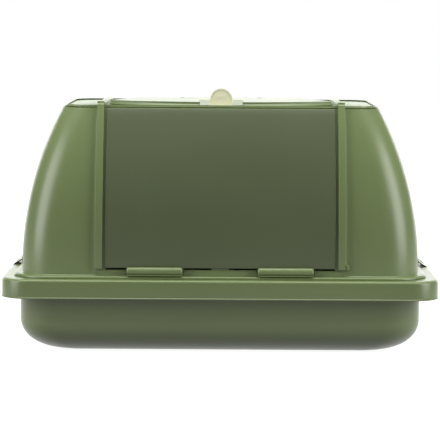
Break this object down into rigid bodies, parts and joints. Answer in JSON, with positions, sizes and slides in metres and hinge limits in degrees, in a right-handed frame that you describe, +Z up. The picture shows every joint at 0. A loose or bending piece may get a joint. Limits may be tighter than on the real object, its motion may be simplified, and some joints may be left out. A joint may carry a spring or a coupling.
{
  "type": "hooded cat litter box",
  "caption": "Hooded cat litter box: rimmed tray, lift-off hood with drop-down front door, latch, roof filter and rear flap.",
  "frame": {"origin": "centre of the box's base, on the floor", "axes": "+X along the long side, +Y to the rear (the front door faces -Y), +Z up"},
  "size_m": [0.57, 0.384, 0.3447],
  "materials": {
    "shell_plastic": "satin olive green polypropylene",
    "door_plastic": "smooth grey-green polypropylene",
    "latch_plastic": "satin pale yellow-green",
    "flap_plastic": "smooth smoky green",
    "filter_felt": "black carbon felt",
    "pin_steel": "bright wire"
  },
  "bodies": {
    "base": {"tray": "shell_plastic"},
    "hood": {"hood": "shell_plastic", "door_pin_left": "pin_steel", "door_pin_right": "pin_steel", "latch_guide": "shell_plastic", "latch_spring": "pin_steel", "cover_pin": "pin_steel", "filter_basket": "shell_plastic", "carbon_filter": "filter_felt", "entrance_frame": "shell_plastic", "flap_pin_left": "pin_steel", "flap_pin_right": "pin_steel", "clip_pin_left": "pin_steel", "clip_pin_right": "pin_steel"},
    "door": {"front_door": "door_plastic", "hinge_cover_left": "shell_plastic", "hinge_cover_right": "shell_plastic"},
    "latch": {"latch_pull": "latch_plastic"},
    "filter_lid": {"filter_cover": "shell_plastic"},
    "entrance_flap": {"flap": "flap_plastic"},
    "clip_left": {"clip_left": "shell_plastic"},
    "clip_right": {"clip_right": "shell_plastic"}
  },
  "joints": [
    {"name": "hood_lift", "type": "slide", "parent": "base", "child": "hood", "axis": [0, 0, 1], "range_m": [0, 0.25]},
    {"name": "door_drop", "type": "hinge", "parent": "hood", "child": "door", "pos_m": [0, -0.1738, 0.1097], "axis": [1, 0, 0], "range_deg": [0, 90]},
    {"name": "latch_slide", "type": "slide", "parent": "hood", "child": "latch", "axis": [0, 1, 0], "range_m": [0, 0.006], "stiffness_N_per_m": 200, "springref_m": -0.002, "deforming": ["latch_spring"]},
    {"name": "cover_lift", "type": "hinge", "parent": "hood", "child": "filter_lid", "pos_m": [0, 0.0502, 0.3242], "axis": [-1, 0, 0], "range_deg": [0, 95]},
    {"name": "flap_swing", "type": "hinge", "parent": "hood", "child": "entrance_flap", "pos_m": [0, 0.13, 0.281], "axis": [1, 0, 0], "range_deg": [-70, 70]},
    {"name": "clip_left_lift", "type": "hinge", "parent": "hood", "child": "clip_left", "pos_m": [-0.2672, 0, 0.1085], "axis": [0, 1, 0], "range_deg": [0, 60]},
    {"name": "clip_right_lift", "type": "hinge", "parent": "hood", "child": "clip_right", "pos_m": [0.2672, 0, 0.1085], "axis": [0, -1, 0], "range_deg": [0, 60]}
  ]
}
